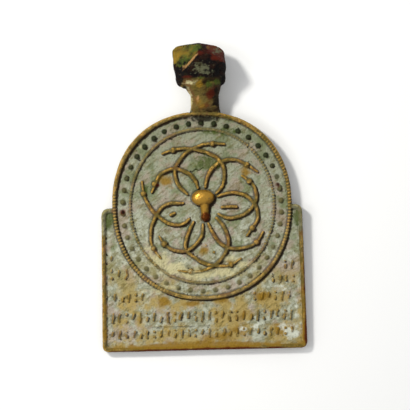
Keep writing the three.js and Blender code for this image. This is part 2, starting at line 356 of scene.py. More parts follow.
def makeRings():
    tree = notchedRingTree()
    made = []
    for name in ("outer", "inner"):
        ring = rings[name]
        count = rings["points"]
        angles = [2 * math.pi * i / count - math.pi for i in range(count)]
        points = [(*ovalPoint(ring["oval"], a), ring["level"]) for a in angles]
        crisp = np.interp(np.degrees(angles), *zip(*ring["crisp"]))
        length = sum(math.dist(a, b) for a, b in zip(points, points[1:] + points[:1]))
        line = meshObject(name + "Ring", points, [(i, (i + 1) % count) for i in range(count)],
                          values={"crisp": crisp})
        made.append(runTree(line, tree, **{
            "Radius": ring["radius"], "Notches": float(round(length / rings["notchSpacing"])),
            "Depth": rings["notchDepth"], "Sharpness": rings["notchSharpness"], "Step": rings["step"]}))
    return made


# Domes: the round of pellets, the buds of the stems and three small marks under the knob
pellets = {
    "oval": {"halfWidth": 23.2, "halfHeight": 24.6, "fullness": 2.1},
    "places": 42,
    "missing": 8,
    "firstAngle": 89.3,
    "drop": -0.4,
    "radius": 0.74,
    "level": 2.2,
    "wornDown": 0.2,  # how much lower the pellets at the foot of the round lie
    "spread": 0.12,
    "seed": 5,
}
marks = {
    "at": [(0.9, -11.6), (-0.1, -13.6), (3.2, -13.7), (-14.6, -4.3), (-13.1, -8.2)],
    "radius": 0.5,
    "level": 2.15,
}


def domesTree():
    tree, given = startTree("domes on points", {
        "Radius": "Float", "Spread": "Float", "Left out": "Int", "Seed": "Int"})
    points = addNode(tree, "GeometryNodeMeshToPoints", inputs={"Mesh": given["Geometry"]})
    place = addNode(tree, "GeometryNodeInputIndex")
    lost = addNode(tree, "FunctionNodeCompare", {"data_type": "INT", "operation": "EQUAL"}, {
        2: place, 3: given["Left out"]})
    points = addNode(tree, "GeometryNodeDeleteGeometry", {"domain": "POINT"}, {
        "Geometry": points, "Selection": lost})
    least = addNode(tree, "ShaderNodeMath", {"operation": "SUBTRACT"}, {0: 1.0, 1: given["Spread"]})
    most = addNode(tree, "ShaderNodeMath", {"operation": "ADD"}, {0: 1.0, 1: given["Spread"]})
    size = addNode(tree, "FunctionNodeRandomValue", {"data_type": "FLOAT"}, {
        2: least, 3: most, "Seed": given["Seed"]}, out=1)
    size = addNode(tree, "ShaderNodeMath", {"operation": "MULTIPLY"}, {0: size, 1: given["Radius"]})
    ball = addNode(tree, "GeometryNodeMeshIcoSphere", inputs={"Radius": 1.0, "Subdivisions": 4})
    domes = addNode(tree, "GeometryNodeInstanceOnPoints", inputs={
        "Points": points, "Instance": ball, "Scale": size})
    return endTree(tree, domes)


# Stems: two to a petal, crossing at its tip, sweeping to a bud and ending in a short tail.
# Angles are degrees about the medallion; half is the petal's half width at the belly.
stems = {
    "radius": 0.52,
    "level": 2.54,
    "wobble": 0.22,  # how unsteadily the wax was laid, mm
    "easing": 40,  # passes that round off the bends
    "rootRadius": 4.4,
    "rootShare": 0.62,
    "tailAngle": 13,
    "girth": [0.62, 1, 1, 1.02, 1, 0.92, 0.8, 0.62],  # share of the radius at each point
    "step": 0.15,
    "endRound": 0.5,
    "budRadius": 0.88,
    "budLevel": 2.42,
    "petals": [
        {"tip": (13.4, 124.5), "belly": 122, "half": 2.4,
         "left": (18.4, 45.5, 0.7, 1), "right": (15.2, 29.5, 0.8, 0.1)},
        {"tip": (13.9, 65.5), "belly": 60, "half": 2.7,
         "left": (17.8, 24.5, 0.65, 1.8), "right": (18.3, 50.5, 0.2, 1.1)},
        {"tip": (15.35, 1), "belly": -0.5, "half": 4.1,
         "left": (16.1, 26, 0.9, -0.4), "right": (15.6, 25, 1.05, -1.3)},
        {"tip": (14.4, -59.5), "belly": -57.5, "half": 2,
         "left": (19.5, 41.5, 1.1, 0.8), "right": (19.2, 24.5, 0.5, 0.4)},
        {"tip": (13.9, -110), "belly": -104.2, "half": 2,
         "left": (15.7, 26, 0.45, -0.4), "right": (19.2, 45, 0.6, 0)},
        {"tip": (13.5, 189.5), "belly": 196.5, "half": 3.6,
         "left": (17.5, 22.5, 0, 1.7), "right": (18.9, 30.5, 0.6, 1)},
    ],
    # Short ridges in the two side petals, like seeds
    "seeds": [[(-10.1, -2.9), (-7.2, -1.4)], [(4.8, -0.6), (8, -0.35), (11, -0.6)]],
    "seedGirth": 0.9,
}


# A rod along each line of a mesh, as thick as its girth attribute says, with rounded ends
def ridgeTree():
    tree, given = startTree("swept ridge", {
        "Radius": "Float", "Step": "Float", "End round": "Float", "Wobble": "Float", "Easing": "Int"})
    line = addNode(tree, "GeometryNodeMeshToCurve", inputs={"Mesh": given["Geometry"]})
    line = addNode(tree, "GeometryNodeCurveSplineType", {"spline_type": "CATMULL_ROM"}, {"Curve": line})
    line = addNode(tree, "GeometryNodeResampleCurve", {"mode": "LENGTH"}, {
        "Curve": line, "Length": given["Step"]})
    place = addNode(tree, "GeometryNodeInputPosition")
    sway = addNode(tree, "ShaderNodeTexNoise", inputs={
        "Vector": place, "Scale": 0.28, "Detail": 1.0}, out="Color")
    sway = addNode(tree, "ShaderNodeVectorMath", {"operation": "SUBTRACT"}, {0: sway, 1: (0.5, 0.5, 0.5)})
    sway = addNode(tree, "ShaderNodeVectorMath", {"operation": "MULTIPLY"}, {0: sway, 1: (4, 4, 0.5)})
    sway = addNode(tree, "ShaderNodeVectorMath", {"operation": "SCALE"}, {0: sway, "Scale": given["Wobble"]})
    line = addNode(tree, "GeometryNodeSetPosition", inputs={"Geometry": line, "Offset": sway})
    eased = addNode(tree, "GeometryNodeBlurAttribute", {"data_type": "FLOAT_VECTOR"}, {
        "Value": place, "Iterations": given["Easing"]})
    line = addNode(tree, "GeometryNodeSetPosition", inputs={"Geometry": line, "Position": eased})
    walked = addNode(tree, "GeometryNodeSplineParameter", out="Length")
    whole = addNode(tree, "GeometryNodeSplineLength", out="Length")
    left = addNode(tree, "ShaderNodeMath", {"operation": "SUBTRACT"}, {0: whole, 1: walked})
    nearest = addNode(tree, "ShaderNodeMath", {"operation": "MINIMUM"}, {0: walked, 1: left})
    share = addNode(tree, "ShaderNodeMath", {"operation": "DIVIDE", "use_clamp": True}, {
        0: nearest, 1: given["End round"]})
    gap = addNode(tree, "ShaderNodeMath", {"operation": "SUBTRACT"}, {0: 1.0, 1: share})
    square = addNode(tree, "ShaderNodeMath", {"operation": "POWER"}, {0: gap, 1: 2.0})
    rest = addNode(tree, "ShaderNodeMath", {"operation": "SUBTRACT"}, {0: 1.04, 1: square})
    cap = addNode(tree, "ShaderNodeMath", {"operation": "SQRT"}, {0: rest})
    girth = addNode(tree, "GeometryNodeInputNamedAttribute", {"data_type": "FLOAT"}, {"Name": "girth"})
    girth = addNode(tree, "ShaderNodeMath", {"operation": "MULTIPLY"}, {0: girth, 1: cap})
    girth = addNode(tree, "ShaderNodeMath", {"operation": "MULTIPLY"}, {0: girth, 1: given["Radius"]})
    section = addNode(tree, "GeometryNodeCurvePrimitiveCircle", inputs={"Resolution": 12, "Radius": 1.0})
    rod = addNode(tree, "GeometryNodeCurveToMesh", inputs={
        "Curve": line, "Profile Curve": section, "Scale": girth, "Fill Caps": True})
    return endTree(tree, rod)


# Lines of points, each with its girths, as one mesh of separate edges chains
def lineObject(name, lines, girths, level):
    points = []
    edges = []
    for line in lines:
        first = len(points)
        points += [(x, y, level) for x, y in line]
        edges += [(first + i, first + i + 1) for i in range(len(line) - 1)]
    flat = [g for girth in girths for g in girth]
    return meshObject(name, points, edges, values={"girth": flat})


# Points of one stem; side is 1 for the stem that starts on the left of its petal, -1 for the right
def stemPoints(petal, side):
    tipRadius, tipAngle = petal["tip"]
    budRadius, sweep, bow, tailRise = petal["left" if side > 0 else "right"]

    def facingFromLight(radius, half, angle):
        return polarPoint(radius, angle + side * math.degrees(math.atan2(half, radius)))

    points = [
        facingFromLight(stems["rootRadius"], petal["half"] * stems["rootShare"], petal["belly"]),
        facingFromLight(tipRadius * 0.6, petal["half"], petal["belly"]),
        facingFromLight(tipRadius * 0.84, petal["half"] * 0.7, (petal["belly"] + 2 * tipAngle) / 3),
        polarPoint(tipRadius, tipAngle),
    ]
    for t in (0.33, 0.67, 1):
        radius = tipRadius + (budRadius - tipRadius) * t + 4 * t * (1 - t) * bow
        points.append(polarPoint(radius, tipAngle - side * sweep * t))
    points.append(polarPoint(budRadius + tailRise, tipAngle - side * (sweep + stems["tailAngle"])))
    return points


def pelletPlaces():
    places = []
    for i in range(pellets["places"]):
        x, y = ovalPoint(pellets["oval"], math.radians(pellets["firstAngle"] - 360 * i / pellets["places"]))
        sunk = pellets["wornDown"] * min(max((4 - y) / 20, 0), 1)
        places.append((x, y + pellets["drop"], pellets["level"] - sunk))
    return places


def makeRosette():
    lines = [stemPoints(petal, side) for petal in stems["petals"] for side in (1, -1)]
    girths = [stems["girth"]] * len(lines)
    buds = [line[-2] for line in lines]
    lines += stems["seeds"]
    girths += [[stems["seedGirth"]] * len(line) for line in stems["seeds"]]
    rods = runTree(lineObject("stems", lines, girths, stems["level"]), ridgeTree(), **{
        "Radius": stems["radius"], "Step": stems["step"], "End round": stems["endRound"],
        "Wobble": stems["wobble"], "Easing": stems["easing"]})
    tree = domesTree()
    budDomes = runTree(meshObject("buds", [(*p, stems["budLevel"]) for p in buds]), tree, **{
        "Radius": stems["budRadius"], "Spread": 0.08, "Left out": -1, "Seed": 2})
    pelletDomes = runTree(meshObject("pellets", pelletPlaces()), tree, **{
        "Radius": pellets["radius"], "Spread": pellets["spread"], "Left out": pellets["missing"],
        "Seed": pellets["seed"]})
    markDomes = runTree(meshObject("marks", [(*p, marks["level"]) for p in marks["at"]]), tree, **{
        "Radius": marks["radius"], "Spread": 0.2, "Left out": -1, "Seed": 9})
    return [rods, budDomes, pelletDomes, markDomes]


# Strokes: rows of separate shallow strokes below the medallion and in the corners
strokes = {
    "radius": 0.43,
    "level": 2.34,
    "step": 0.12,
    "endRound": 0.3,
    "pitch": 2.02,
    "wobble": 0.1,
    "easing": 2,
    "seed": 11,
    "rows": [
        {"y": -32.4, "from": -27, "to": 26.8, "height": 3.5},
        {"y": -37.3, "from": -27, "to": 26.8, "height": 2.8},
        {"y": -26.4, "from": -26.2, "to": -16.5, "height": 2.8},
        {"y": -26.8, "from": 14.8, "to": 26.2, "height": 3},
        {"y": -21.9, "from": 20.2, "to": 26.6, "height": 2.6},
        {"y": -19.6, "from": -27, "to": -22.6, "height": 3.5},
        {"y": -17.8, "from": 23.9, "to": 26.8, "height": 3},
        {"y": -14.7, "from": -27, "to": -25.5, "height": 1.6},
    ],
    # One place in a row holds one or two strokes: height in the row and length as shares, lean in degrees
    "kinds": [
        [(0.5, 1, 6)],
        [(0.8, 0.36, 12), (0.22, 0.36, 16)],
        [(0.56, 0.84, 9)],
        [(0.34, 0.62, 14)],
        [(0.86, 0.24, 14), (0.34, 0.56, 8)],
        [(0.64, 0.68, 11)],
    ],
    "order": [0, 2, 1, 5, 0, 4, 2, 3, 0, 1, 2, 5, 4],
    "ruled": [(-16, -35.05), (1.5, -35.0)],
}


def makeStrokes():
    rng = np.random.default_rng(strokes["seed"])
    lines = []
    girths = []
    for number, row in enumerate(strokes["rows"]):
        count = int((row["to"] - row["from"]) / strokes["pitch"]) + 1
        for i in range(count):
            kind = strokes["kinds"][strokes["order"][(i + 3 * number) % len(strokes["order"])]]
            for height, length, lean in kind:
                half = row["height"] * length / 2
                turn = math.radians(90 - lean + rng.normal(0, 5))
                x = row["from"] + i * strokes["pitch"] + rng.normal(0, 0.07)
                y = row["y"] + (height - 0.5) * row["height"] + rng.normal(0, 0.06)
                dx, dy = half * math.cos(turn), half * math.sin(turn)
                bow = rng.normal(0, 0.14)
                lines.append([(x - dx, y - dy), (x - dy * bow, y + dx * bow), (x + dx, y + dy)])
                girths.append([rng.uniform(0.8, 1.1), rng.uniform(0.85, 1.1), rng.uniform(0.8, 1.1)])
    lines.append(strokes["ruled"])
    girths.append([0.55, 0.5])
    rows = lineObject("strokes", lines, girths, strokes["level"])
    return [runTree(rows, ridgeTree(), **{
        "Radius": strokes["radius"], "Step": strokes["step"], "End round": strokes["endRound"],
        "Wobble": strokes["wobble"], "Easing": strokes["easing"]})]


# Knob in the middle of the rosette: a low dome with a sloping stub below it
knob = {
    "at": (0.35, 2.33),
    "half": (3.4, 2.4, 1.8),
    "top": 4.7,
    "stub": {"x": 0.85, "top": 1.2, "end": -4.6, "steps": 30, "roundFrom": 0.78,
             "halves": [(0, 1.7), (0.35, 1.35), (0.55, 1.15), (0.8, 1.4), (1, 1.3)],
             "rises": [(0, 2), (0.5, 1.35), (1, 1.3)]},
}


def makeKnob():
    bm = bmesh.new()
    bmesh.ops.create_uvsphere(bm, u_segments=48, v_segments=24, radius=1)
    bmesh.ops.scale(bm, vec=knob["half"], verts=bm.verts)
    bmesh.ops.translate(bm, vec=(*knob["at"], knob["top"] - knob["half"][2]), verts=bm.verts)
    dome = closedFrom(bm, "dome")
    stub = knob["stub"]
    sections = []
    for t in np.linspace(0, 1, stub["steps"]):
        past = max((t - stub["roundFrom"]) / (1 - stub["roundFrom"]), 0)
        closing = math.sqrt(max(1 - past ** 2, 0.004))
        half = np.interp(t, *zip(*stub["halves"])) * closing
        rise = np.interp(t, *zip(*stub["rises"])) * closing
        y = stub["top"] + (stub["end"] - stub["top"]) * t
        sections.append((y, stub["x"], plate["field"], half, rise))
    return [dome, ovalLoft("stub", sections, 32)]


# Ovals in planes across Y: y, x, level, half width, half depth
def ovalLoft(name, sections, sides):
    loops = []
    for y, x, level, halfWidth, halfDepth in sections:
        angles = [2 * math.pi * i / sides for i in range(sides)]
        loops.append([(x + halfWidth * math.cos(a), y, level + halfDepth * math.sin(a)) for a in angles])
    return skin(name, loops)


# Neck: oval, flaring into a collar under the bead
neck = {
    "sides": 48,
    "steps": 40,
    "sections": [
        (26.2, 1.6, 1.6, 4.6, 1.1),
        (27.3, 1.6, 1.65, 4.5, 1.5),
        (28.8, 1.6, 2.1, 4.15, 2.6),
        (32.2, 1.55, 2.8, 4.1, 3.1),
        (33.6, 1.3, 3.2, 4.8, 3.9),
        (35.6, 0.9, 3.5, 5.75, 4.9),
        (37.2, 0.7, 3.5, 5.4, 4.6),
    ],
}


def makeNeck():
    table = np.array(neck["sections"])
    ys = np.linspace(table[0, 0], table[-1, 0], neck["steps"])
    columns = [np.interp(ys, table[:, 0], table[:, k]) for k in range(1, 5)]
    return ovalLoft("neck", list(zip(ys, *columns)), neck["sides"])


# Bead: a block whose corners are filed away, with a hole across it for a cord.
# Corner places are shares of its half sizes.
bead = {
    "centre": (0.13, 40.5, 3.6),
    "half": (7.83, 7, 6.3),
    "frontFace": [(-0.57, -0.13), (0.02, 0.6), (0.85, 0.18), (0.12, -0.56)],
    "backFace": [(-0.65, 0), (0, 0.58), (0.65, 0), (0, -0.58)],
    "around": [(-0.99, 0.74), (-0.85, -0.7), (0.94, 0.66), (0.96, -0.7), (-0.85, 0.89), (0.74, 0.85),
               (-0.72, -0.9), (0.8, -0.88), (0, 1)],
    "waist": 0.72,
    "crown": 0.95,
    "underside": (-0.72, 0.8),
    "edgeWear": 0.45,
    "boreRadius": 3.2,
}


def makeBead():
    corners = [(x, y, 1) for x, y in bead["frontFace"]]
    corners += [(x, y, -1) for x, y in bead["backFace"]]
    corners += [(x, y, 0) for x, y in bead["around"]]
    for z in (-1, 1):
        corners += [(-bead["crown"], 0, z * bead["waist"]), (1, 0, z * bead["waist"])]
        corners += [(0, bead["crown"], z * bead["waist"]), (0, bead["underside"][0], z * bead["underside"][1])]
    bm = bmesh.new()
    for share in corners:
        bm.verts.new([c + s * h for c, s, h in zip(bead["centre"], share, bead["half"])])
    hull = bmesh.ops.convex_hull(bm, input=bm.verts)
    bmesh.ops.delete(bm, geom=[e for e in hull["geom_interior"] if isinstance(e, bmesh.types.BMVert)],
                     context="VERTS")
    bmesh.ops.dissolve_limit(bm, angle_limit=math.radians(4), verts=bm.verts, edges=bm.edges)
    bmesh.ops.bevel(bm, geom=list(bm.edges), offset=bead["edgeWear"], segments=3, profile=0.5,
                    affect="EDGES", clamp_overlap=True)
    block = closedFrom(bm, "bead")
    bm = bmesh.new()
    bmesh.ops.create_cone(bm, cap_ends=True, segments=64, radius1=bead["boreRadius"],
                          radius2=bead["boreRadius"], depth=4 * bead["half"][0])
    bmesh.ops.rotate(bm, matrix=Matrix.Rotation(math.pi / 2, 3, "Y"), verts=bm.verts)
    bmesh.ops.translate(bm, vec=bead["centre"], verts=bm.verts)
    bore = closedFrom(bm, "bore")
    cut = block.modifiers.new("bore", "BOOLEAN")
    cut.operation = "DIFFERENCE"
    cut.object = bore
    settle(block)
    bpy.data.objects.remove(bore)
    return block


parts = [makePlate(), *makeRings(), *makeRosette(), *makeStrokes(), *makeKnob(), makeNeck(), makeBead()]
print("wax parts made:", len(parts))


# Fuses the parts into one skin
def fuse(parts):
    bm = bmesh.new()
    for part in parts:
        bm.from_mesh(part.data)
        bpy.data.objects.remove(part)
    mesh = bpy.data.meshes.new("icon")
    bm.to_mesh(mesh)
    bm.free()
    whole = bpy.data.objects.new("icon_casting", mesh)
    bpy.context.scene.collection.objects.link(whole)
    remesh = whole.modifiers.new("fuse", "REMESH")
    remesh.mode = "VOXEL"
    remesh.voxel_size = fineness["voxel"]
    remesh.adaptivity = 0
    return settle(whole)


casting = fuse(parts)
print("parts fused:", len(casting.data.vertices), "points")

# Stains and painted light: soft spots on the face by kind, each x, y, radius along x, radius along y, strength
# and, for a slanted one, degrees. Those beyond y = 27 lie on the neck and the head, where some spots are painted
# highlight and painted shade, as noted at each kind.
stainsAndPaintedLight = {
    # Pale: pale crust on the face; the strip down the left of the neck is painted highlight
    "pale": [
        (-15.5, -12.6, 3.5, 3.5, 0.6), (-12.7, -15.8, 4, 3, 0.9), (-8.6, -18.2, 5, 2.4, 1),
        (-2, -20, 6, 2, 1), (6.2, -19.6, 6, 2, 0.9), (12, -17.4, 4, 2, 0.7), (8, -15.6, 4, 1.4, 0.7),
        (-20.3, 12.3, 1.4, 7, 0.35), (-13.5, -24, 7, 2, 0.6), (-17, 17.5, 3, 1, 0.4),
        (-2.9, 31, 1, 3.4, 0.9), (-2.6, 36, 2.4, 0.8, 0.7), (-3.4, 34, 1.2, 1.4, 0.5),
    ],
    "crust": [
        (25.4, -37.7, 2.8, 2, 1), (22.5, -36.2, 2, 1.6, 0.8), (14.9, -35.6, 2, 1.1, 0.8),
        (11.1, -36.3, 1.6, 1, 0.7), (23.5, -24.5, 2.5, 2, 0.5), (26.9, -30, 0.8, 5, 0.6),
        (-27.5, -8, 1.2, 3, 0.4), (4.8, -37.4, 2, 0.8, 0.5), (-6, 13.8, 1.6, 1, 0.5),
    ],
    "ochre": [
        (-10.6, 7.7, 2.6, 1.8, 0.9), (-9, 5.6, 1.8, 1.6, 0.5), (12.8, 9.6, 2, 2.6, 0.8),
        (14.2, 6.2, 1.2, 3, 0.4), (-11.5, -27.7, 2.2, 1.6, 1),
        (-2.7, -28.6, 6.5, 1.1, 0.8), (5, -28, 5, 1.2, 0.6), (17.5, -27, 3.4, 2.6, 0.9),
        (22.9, -31.8, 3, 3, 0.7), (22, -36.5, 2, 2.6, 0.7), (4.9, -38.6, 5, 2, 0.9),
        (-1, -40.2, 14, 0.9, 0.8), (3.6, -33, 5, 3, 0.6), (8, -16.6, 2.4, 1.4, 0.8), (0, -13.2, 2, 1.6, 0.8),
        (-6, -33, 5, 3, 0.5), (-20, -33, 5, 3, 0.4), (9, -36.5, 4, 2, 0.6), (15, -33.4, 6, 3, 0.5),
        (0, -41, 40, 1.1, 1), (29.2, -34, 0.9, 10, 0.8), (29, -20, 0.7, 8, 0.6), (-29.2, -34, 0.9, 12, 0.6),
        (-5.8, 43.6, 1.2, 3, 0.6), (3.8, 45.9, 2.2, 0.8, 1), (0.2, 35.4, 1.4, 1.6, 1),
        (0.4, 30.5, 1.8, 3, 0.5),
    ],
    # Grime: dark dirt on the right shoulder, two pellets and the head's top; below the neck it is the neck's
    # painted shadow, and on the neck and the collar painted shade
    "grime": [
        (1.3, 25.4, 5.4, 1.1, 1), (27.9, -7.3, 1.5, 1.6, 0.4),
        (4.8, 30.4, 1.3, 1.8, 1.1), (5, 33.4, 0.9, 1.4, 0.9), (-4.6, 34.2, 1.2, 1.2, 1),
        (22.4, 5.7, 0.7, 0.7, 0.8), (-23.2, -1.3, 0.7, 0.7, 0.8), (5.5, 44.9, 0.4, 0.35, 0.9),
    ],
    "green": [
        (1.6, 12.4, 5, 2.8, 0.9), (-27.6, -3.4, 2.4, 3.6, 1), (28.2, -3.4, 2, 4, 1), (-3, -1.6, 2.6, 1, 0.4),
        (6, 21.5, 9, 1.6, 0.7), (-19, 4, 2, 5, 0.3), (-16.2, 5.4, 1.2, 2.4, 0.8), (11.6, 19.5, 2, 1.6, 0.6),
        (-1.6, 45.9, 2.6, 1.6, 1), (-3.6, 43.6, 1.6, 1.4, 0.8), (3, 35.4, 1.5, 1.2, 1), (5.4, 35.8, 1.2, 1, 1),
        (0.8, 37.2, 2, 0.5, 0.6), (-0.6, 32.6, 0.8, 1.4, 0.5),
    ],
    # Red: red-brown patina on the buds, pellets, head and rims; on the neck's right side and at the lower end of
    # the knob's stub it is also painted shade
    "red": [
        (1.1, -3.1, 1.7, 1.7, 1.1), (22.4, 5.7, 0.9, 0.9, 0.9), (-23.2, -1.3, 0.9, 0.9, 0.9),
        (-13, 6.3, 1, 0.8, 1), (13, 3.4, 1.2, 1, 0.6),
        (5.6, 42.9, 2.6, 1, 1), (0.8, 44.6, 1.4, 1.8, 0.8, 120), (3, 32.4, 1.6, 2.4, 1), (6, 39, 1.6, 2, 0.45), (2.2, 30, 1, 1.5, 0.5),
        (-3, 37.6, 3, 0.5, 0.6), (0, -42.3, 40, 0.7, 1.1), (29.8, -36, 0.7, 8, 1.1), (29.6, -20, 0.6, 10, 0.8),
        (-29.8, -30, 0.5, 3, 0.5),
    ],
    "ash": [
        (0.9, 39.7, 2.6, 1.6, 0.9), (2.6, 38.8, 1.8, 1.2, 0.7), (5.5, 44.9, 1.3, 1.2, 0.9),
        (-0.6, 40.8, 1.4, 0.9, 0.8),
    ],
    # Tan: painted highlight along the lit upper left edge of the head's front face and down the middle of the
    # neck
    "tan": [
        (-2.2, 42, 4, 0.3, 1.1, 48), (-4.2, 40.4, 1.3, 0.7, 0.7, 48), (-0.4, 31.2, 0.5, 1.1, 1),
        (0, 33.6, 0.4, 0.8, 0.7),
    ],
}
# Places where the casting grew a rough crust
lumps = [(1.6, 12, 4.2, 2.4, 1), (-1.6, 10.4, 2.4, 1.2, 0.7), (25.4, -37.7, 2.8, 2, 0.5),
         (1.5, 39.5, 3, 2, 0.5)]


# Strength of soft spots at points given as columns x and y
def spotsAt(spots, x, y):
    strength = np.zeros_like(x)
    for sx, sy, rx, ry, most, *slant in spots:
        turn = math.radians(slant[0] if slant else 0)
        along = (x - sx) * math.cos(turn) + (y - sy) * math.sin(turn)
        across = (y - sy) * math.cos(turn) - (x - sx) * math.sin(turn)
        strength = np.maximum(strength, most * np.exp(-(along / rx) ** 2 - (across / ry) ** 2))
    return strength


def pointsOf(mesh):
    flat = np.empty(len(mesh.vertices) * 3, np.float32)
    mesh.vertices.foreach_get("co", flat)
    return flat.reshape(-1, 3).astype(float)


def normalsOf(mesh):
    flat = np.empty(len(mesh.vertices) * 3, np.float32)
    mesh.vertices.foreach_get("normal", flat)
    return flat.reshape(-1, 3).astype(float)


def setValues(mesh, name, values):
    layer = mesh.attributes.get(name) or mesh.attributes.new(name, "FLOAT", "POINT")
    layer.data.foreach_set("value", np.asarray(values, np.float32))


# Surface wear: sizes in mm of what time and the casting left on the skin
wear = {
    "swell": 0.08, "swellSize": 5.0,
    "grain": 0.09, "grainSize": 0.95,
    "pit": 0.16, "pitSize": 1.7, "pitFrom": 0.62,
    "crust": 0.5, "crustSize": 1.1,
    "crack": 0.4,
}


def wearTree():
    tree, given = startTree("casting wear", {
        "Swell": "Float", "Grain": "Float", "Pit": "Float", "Crust": "Float", "Crack": "Float"})
    place = addNode(tree, "GeometryNodeInputPosition")
    outward = addNode(tree, "GeometryNodeInputNormal")
    total = None
    # name, size in mm, level taken off the noise, input that scales it, mask attribute
    for size, mid, gain, amount, mask in (
        (wear["swellSize"], 0.5, 2.0, "Swell", None),
        (wear["grainSize"], 0.5, 2.0, "Grain", None),
        (wear["crustSize"], 0.3, 1.2, "Crust", "lumps"),
    ):
        noise = addNode(tree, "ShaderNodeTexNoise", inputs={
            "Vector": place, "Scale": 1 / size, "Detail": 3.0, "Roughness": 0.6})
        level = addNode(tree, "ShaderNodeMath", {"operation": "SUBTRACT"}, {0: noise, 1: mid})
        level = addNode(tree, "ShaderNodeMath", {"operation": "MULTIPLY"}, {0: level, 1: gain})
        level = addNode(tree, "ShaderNodeMath", {"operation": "MULTIPLY"}, {0: level, 1: given[amount]})
        if mask:
            where = addNode(tree, "GeometryNodeInputNamedAttribute", {"data_type": "FLOAT"}, {"Name": mask})
            level = addNode(tree, "ShaderNodeMath", {"operation": "MULTIPLY"}, {0: level, 1: where})
        total = level if total is None else addNode(
            tree, "ShaderNodeMath", {"operation": "ADD"}, {0: total, 1: level})
    hollow = addNode(tree, "ShaderNodeTexNoise", inputs={
        "Vector": place, "Scale": 1 / wear["pitSize"], "Detail": 2.0})
    hollow = addNode(tree, "ShaderNodeMapRange", inputs={
        "Value": hollow, "From Min": wear["pitFrom"], "From Max": wear["pitFrom"] + 0.1})
    hollow = addNode(tree, "ShaderNodeMath", {"operation": "MULTIPLY"}, {0: hollow, 1: given["Pit"]})
    crack = addNode(tree, "GeometryNodeInputNamedAttribute", {"data_type": "FLOAT"}, {"Name": "crack"})
    crack = addNode(tree, "ShaderNodeMath", {"operation": "MULTIPLY"}, {0: crack, 1: given["Crack"]})
    total = addNode(tree, "ShaderNodeMath", {"operation": "SUBTRACT"}, {0: total, 1: hollow})
    total = addNode(tree, "ShaderNodeMath", {"operation": "SUBTRACT"}, {0: total, 1: crack})
    move = addNode(tree, "ShaderNodeVectorMath", {"operation": "SCALE"}, {0: outward, "Scale": total})
    worn = addNode(tree, "GeometryNodeSetPosition", inputs={"Geometry": given["Geometry"], "Offset": move})
    return endTree(tree, worn)


def ageCasting():
    points = pointsOf(casting.data)
    front = points[:, 2] > plate["field"] - 0.4
    x, y = points[:, 0], points[:, 1]
    setValues(casting.data, "lumps", spotsAt(lumps, x, y) * front)
    along = np.clip((x + 3.6) / 4.6, 0, 1)
    line = 9.95 + 1.0 * along + 0.25 * np.sin(x * 3)
    inCrack = np.exp(-((y - line) / 0.22) ** 2) * (np.abs(x + 1.3) < 2.1)
    setValues(casting.data, "crack", inCrack * front)
    runTree(casting, wearTree(), Swell=wear["swell"], Grain=wear["grain"], Pit=wear["pit"],
            Crust=wear["crust"], Crack=wear["crack"])


# Height map of the face, the same map smoothed, by which hollows and crests are told apart, and how far each spot
# lies in the lee of higher relief towards the upper left, where the lamp stands: painted shadow, laid as dark
# lines on the lower right of the ridges
mapping = {
    "cell": 0.12,
    "x": (-32, 32),
    "y": (-44, 50),
    "blur": 0.35,
    "shadowWay": (0.74, -0.67),
    "reaches": (0.24, 0.36, 0.5, 0.66, 0.84),
}
cellsAcross = int((mapping["x"][1] - mapping["x"][0]) / mapping["cell"])
cellsAlong = int((mapping["y"][1] - mapping["y"][0]) / mapping["cell"])


def mapCells(points):
    column = ((points[:, 0] - mapping["x"][0]) / mapping["cell"]).astype(int)
    row = ((points[:, 1] - mapping["y"][0]) / mapping["cell"]).astype(int)
    return np.clip(row, 0, cellsAlong - 1), np.clip(column, 0, cellsAcross - 1)


def heightMap(points):
    level = np.zeros((cellsAlong, cellsAcross))
    np.maximum.at(level, mapCells(points), points[:, 2])
    for _ in range(2):  # fills the cells that no point fell in
        around = [np.roll(level, step, axis) for step in (1, -1) for axis in (0, 1)]
        level = np.where(level > 0, level, np.max(around, axis=0))
    return level


def blurred(level, radius):
    rows = np.fft.fftfreq(level.shape[0])[:, None]
    columns = np.fft.rfftfreq(level.shape[1])[None, :]
    sigma = radius / mapping["cell"]
    keep = np.exp(-2 * (math.pi * sigma) ** 2 * (rows ** 2 + columns ** 2))
    return np.fft.irfft2(np.fft.rfft2(level) * keep, level.shape)


def shadowLineOf(level):
    leeShadow = np.zeros_like(level)
    for reach in mapping["reaches"]:
        column, row = (round(way * reach / mapping["cell"]) for way in mapping["shadowWay"])
        leeShadow = np.maximum(leeShadow, (np.roll(level, (row, column), (0, 1)) - level) / reach)
    return np.clip(leeShadow, 0, 2)


def thinCasting(target):
    points = pointsOf(casting.data)
    normals = normalsOf(casting.data)
    behind = (points[:, 2] < 1.4) | (normals[:, 2] < 0.1)
    group = casting.vertex_groups.new(name="behind")
    group.add(np.nonzero(behind)[0].tolist(), 1, "REPLACE")
    whole = 2 * len(casting.data.polygons)
    kept = whole * (1 - behind.mean()) + fineness["behind"]
    for count, only in ((kept, "behind"), (target, "")):
        thin = casting.modifiers.new("thin", "DECIMATE")
        thin.ratio = min(1, count / whole)
        thin.use_collapse_triangulate = True
        thin.vertex_group = only
        settle(casting)
        whole = len(casting.data.polygons)
    casting.vertex_groups.clear()


ageCasting()
levels = heightMap(pointsOf(casting.data))
thinCasting(fineness["triangles"])
print("casting aged and thinned:", len(casting.data.polygons), "faces")


# What the paint reads off the shape: levels and lengths in mm
reading = {
    "frontLevel": 1.2,
    "crestMost": 0.5,
    "tone": (-12, 25),  # darker from the first y to the second: painted shade over the field, darker patina on the pellets
    "warm": (-12, -28),  # and warms from the first to the second
    "headEdge": 0.8,
    "pelletReach": 0.95,
    "proud": (0.15, 0.35),  # heights over the field between which stains get thinner
    "thinned": 0.5,
    "knobFoot": 0.25,
    "knobRoughness": 0.12,
    "facetMatch": (0.8, 0.92),
}

